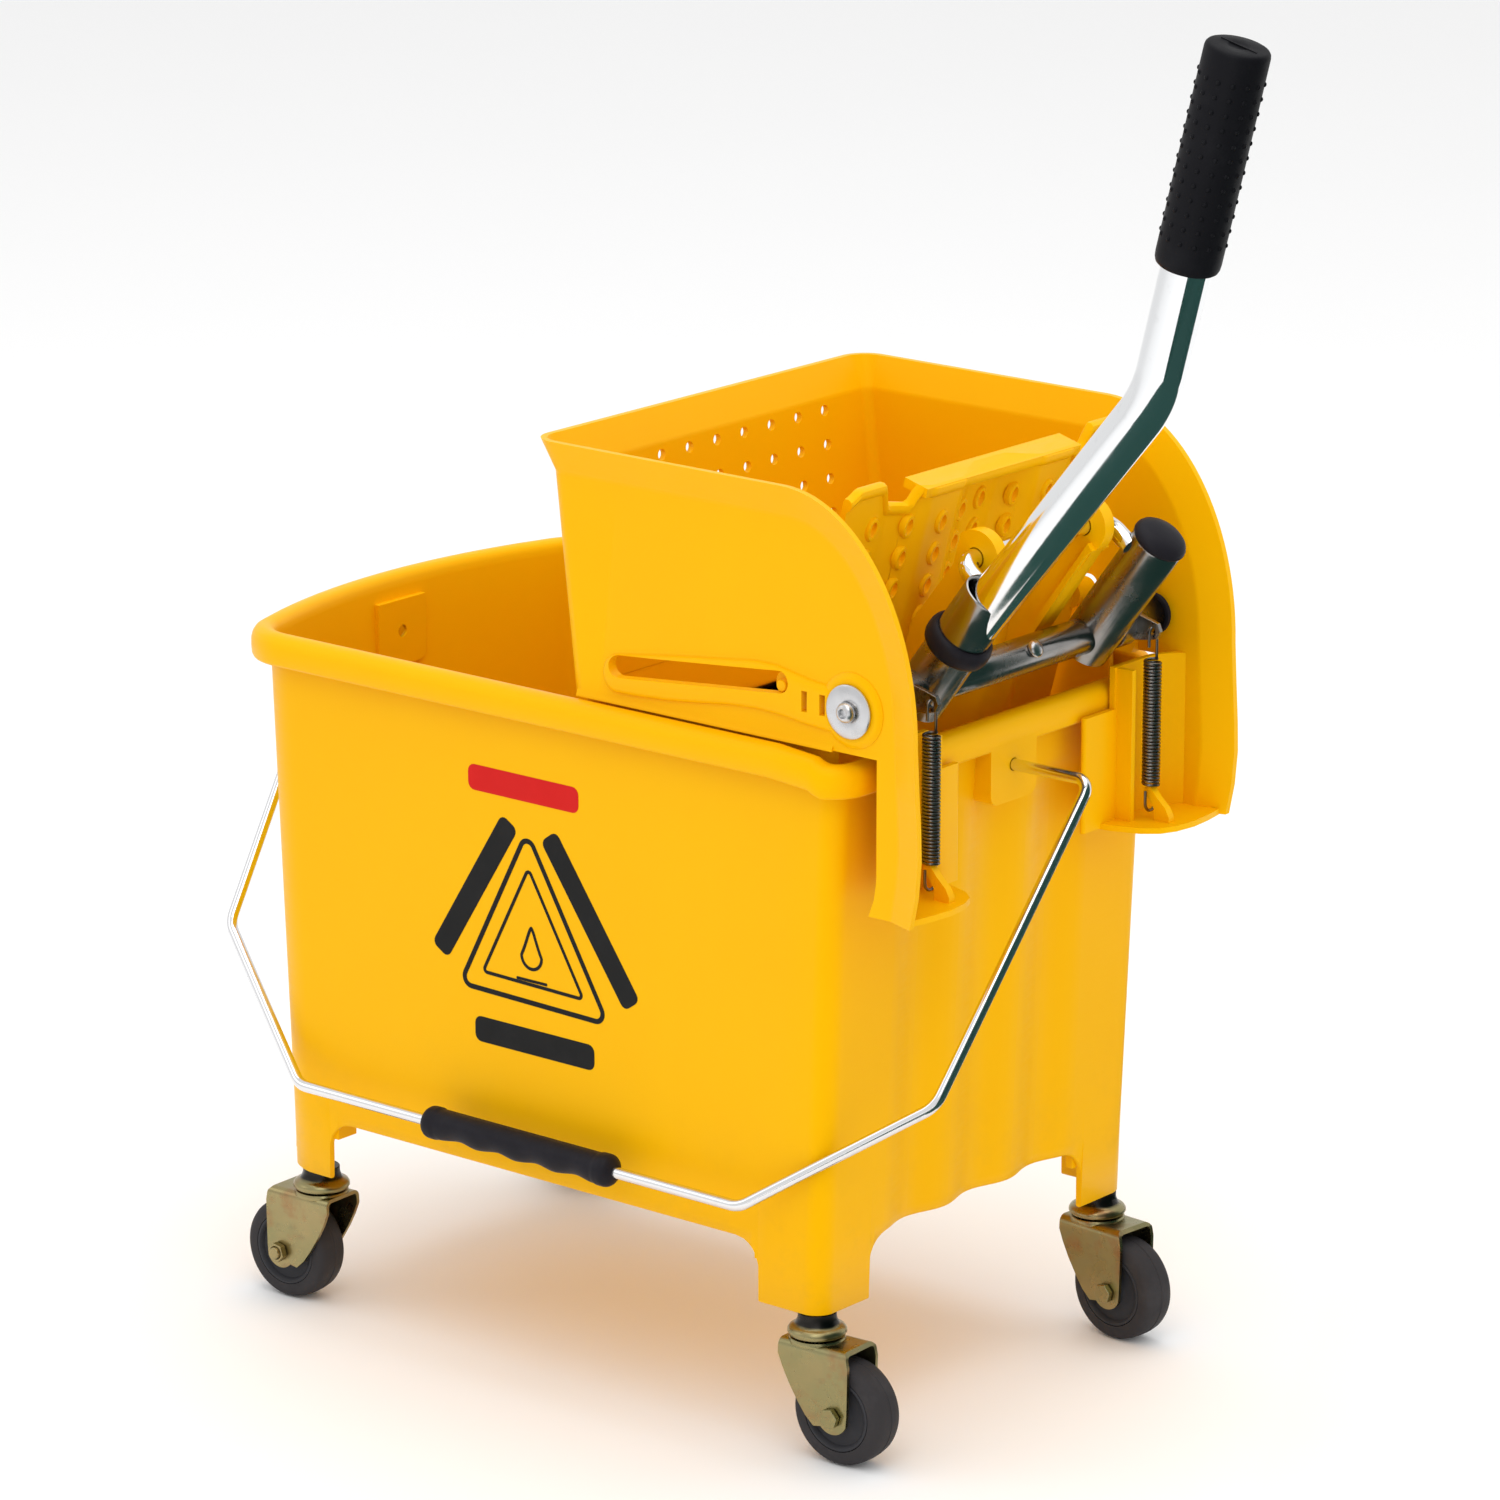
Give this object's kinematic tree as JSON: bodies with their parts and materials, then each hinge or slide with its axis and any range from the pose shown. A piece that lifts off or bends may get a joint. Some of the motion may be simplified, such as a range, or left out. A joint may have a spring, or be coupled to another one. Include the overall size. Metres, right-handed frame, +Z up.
{
  "type": "mop bucket with wringer",
  "caption": "Wheeled rectangular mop bucket with a lift-out side-press wringer, bent lever with a grip, return springs and a wire bail handle.",
  "frame": {"origin": "on the floor, under the centre of the overall box", "axes": "+Z up; +X towards the wringer and lever end; -Y is the side with the bail and the safety mark"},
  "size_m": [0.5997, 0.2699, 0.6713],
  "materials": {
    "yellow_plastic": "moulded, semi-gloss",
    "chrome": "plated, bright",
    "steel": "bare, satin",
    "zinc": "yellow passivated zinc",
    "black_plastic": "moulded, matt",
    "grip_rubber": "moulded, dimpled, matt",
    "hub_plastic": "moulded, matt",
    "tyre": "solid, matt"
  },
  "bodies": {
    "bucket": {"bucket": "yellow_plastic", "stem_front_right": "zinc", "stem_back_right": "zinc", "stem_front_left": "zinc", "stem_back_left": "zinc", "raceway_front_right": "zinc", "raceway_back_right": "zinc", "raceway_front_left": "zinc", "raceway_back_left": "zinc"},
    "wringer": {"wringer_housing": "yellow_plastic", "pivot_washer_back": "steel", "pivot_washer_front": "steel", "pivot_bolt_back": "steel", "pivot_bolt_front": "steel", "spring_back": "steel", "spring_front": "steel"},
    "lever_frame": {"cross_tube": "chrome", "bush_front": "black_plastic", "bush_back": "black_plastic", "cross_tube_screw": "steel", "socket_front": "chrome", "socket_back": "chrome", "spring_tab_back": "steel", "spring_tab_front": "steel", "press_rod": "chrome", "socket_ring": "black_plastic", "socket_cap": "black_plastic"},
    "presser": {"presser_plate": "yellow_plastic"},
    "lever": {"lever_tube": "chrome", "lever_grip": "grip_rubber"},
    "bail": {"bail": "chrome", "bail_grip": "black_plastic"},
    "castor_front_right": {"fork_front_right": "zinc", "axle_bolt_front_right": "steel", "axle_nut_front_right": "steel"},
    "wheel_front_right": {"wheel_hub_front_right": "hub_plastic", "wheel_tyre_front_right": "tyre"},
    "castor_back_right": {"fork_back_right": "zinc", "axle_bolt_back_right": "steel", "axle_nut_back_right": "steel"},
    "wheel_back_right": {"wheel_hub_back_right": "hub_plastic", "wheel_tyre_back_right": "tyre"},
    "castor_front_left": {"fork_front_left": "zinc", "axle_bolt_front_left": "steel", "axle_nut_front_left": "steel"},
    "wheel_front_left": {"wheel_hub_front_left": "hub_plastic", "wheel_tyre_front_left": "tyre"},
    "castor_back_left": {"fork_back_left": "zinc", "axle_bolt_back_left": "steel", "axle_nut_back_left": "steel"},
    "wheel_back_left": {"wheel_hub_back_left": "hub_plastic", "wheel_tyre_back_left": "tyre"}
  },
  "joints": [
    {"name": "wringer_lift", "type": "slide", "parent": "bucket", "child": "wringer", "axis": [0, 0, 1], "range_m": [0, 0.12]},
    {"name": "lever_swing", "type": "hinge", "parent": "wringer", "child": "lever_frame", "pos_m": [0.1224, 0.0069, 0.3604], "axis": [0, -1, 0], "range_deg": [0, 45], "stiffness_Nm_per_rad": 1.5, "springref_deg": -20.05, "deforming": ["spring_back", "spring_front"]},
    {"name": "presser_swing", "type": "hinge", "parent": "lever_frame", "child": "presser", "pos_m": [0.1344, 0.0069, 0.418], "axis": [0, -1, 0], "range_deg": [-49.5, 0]},
    {"name": "lever_pull_out", "type": "slide", "parent": "lever_frame", "child": "lever", "axis": [0.5948, 0, 0.8039], "range_m": [0, 0.06]},
    {"name": "bail_swing", "type": "hinge", "parent": "bucket", "child": "bail", "pos_m": [-0.0646, 0.0069, 0.311], "axis": [-1, 0, 0], "range_deg": [0, 20]},
    {"name": "swivel_front_right", "type": "hinge", "parent": "bucket", "child": "castor_front_right", "pos_m": [0.0964, -0.1001, 0.06], "axis": [0, 0, 1], "continuous": true},
    {"name": "roll_front_right", "type": "hinge", "parent": "castor_front_right", "child": "wheel_front_right", "pos_m": [0.11338, -0.09921, 0.025], "axis": [-0.0523, 0.9986, 0], "continuous": true},
    {"name": "swivel_back_right", "type": "hinge", "parent": "bucket", "child": "castor_back_right", "pos_m": [0.0964, 0.1139, 0.06], "axis": [0, 0, 1], "continuous": true},
    {"name": "roll_back_right", "type": "hinge", "parent": "castor_back_right", "child": "wheel_back_right", "pos_m": [0.11334, 0.11242, 0.025], "axis": [0.0872, 0.9962, 0], "continuous": true},
    {"name": "swivel_front_left", "type": "hinge", "parent": "bucket", "child": "castor_front_left", "pos_m": [-0.2166, -0.0971, 0.06], "axis": [0, 0, 1], "continuous": true},
    {"name": "roll_front_left", "type": "hinge", "parent": "castor_front_left", "child": "wheel_front_left", "pos_m": [-0.23359, -0.09769, 0.025], "axis": [0.0349, -0.9994, 0], "continuous": true},
    {"name": "swivel_back_left", "type": "hinge", "parent": "bucket", "child": "castor_back_left", "pos_m": [-0.2166, 0.1109, 0.06], "axis": [0, 0, 1], "continuous": true},
    {"name": "roll_back_left", "type": "hinge", "parent": "castor_back_left", "child": "wheel_back_left", "pos_m": [-0.23323, 0.11443, 0.025], "axis": [-0.2079, -0.9781, 0], "continuous": true}
  ],
  "couplings": [
    {"joint": "presser_swing", "follows": "lever_swing", "ratio": -1.089}
  ]
}
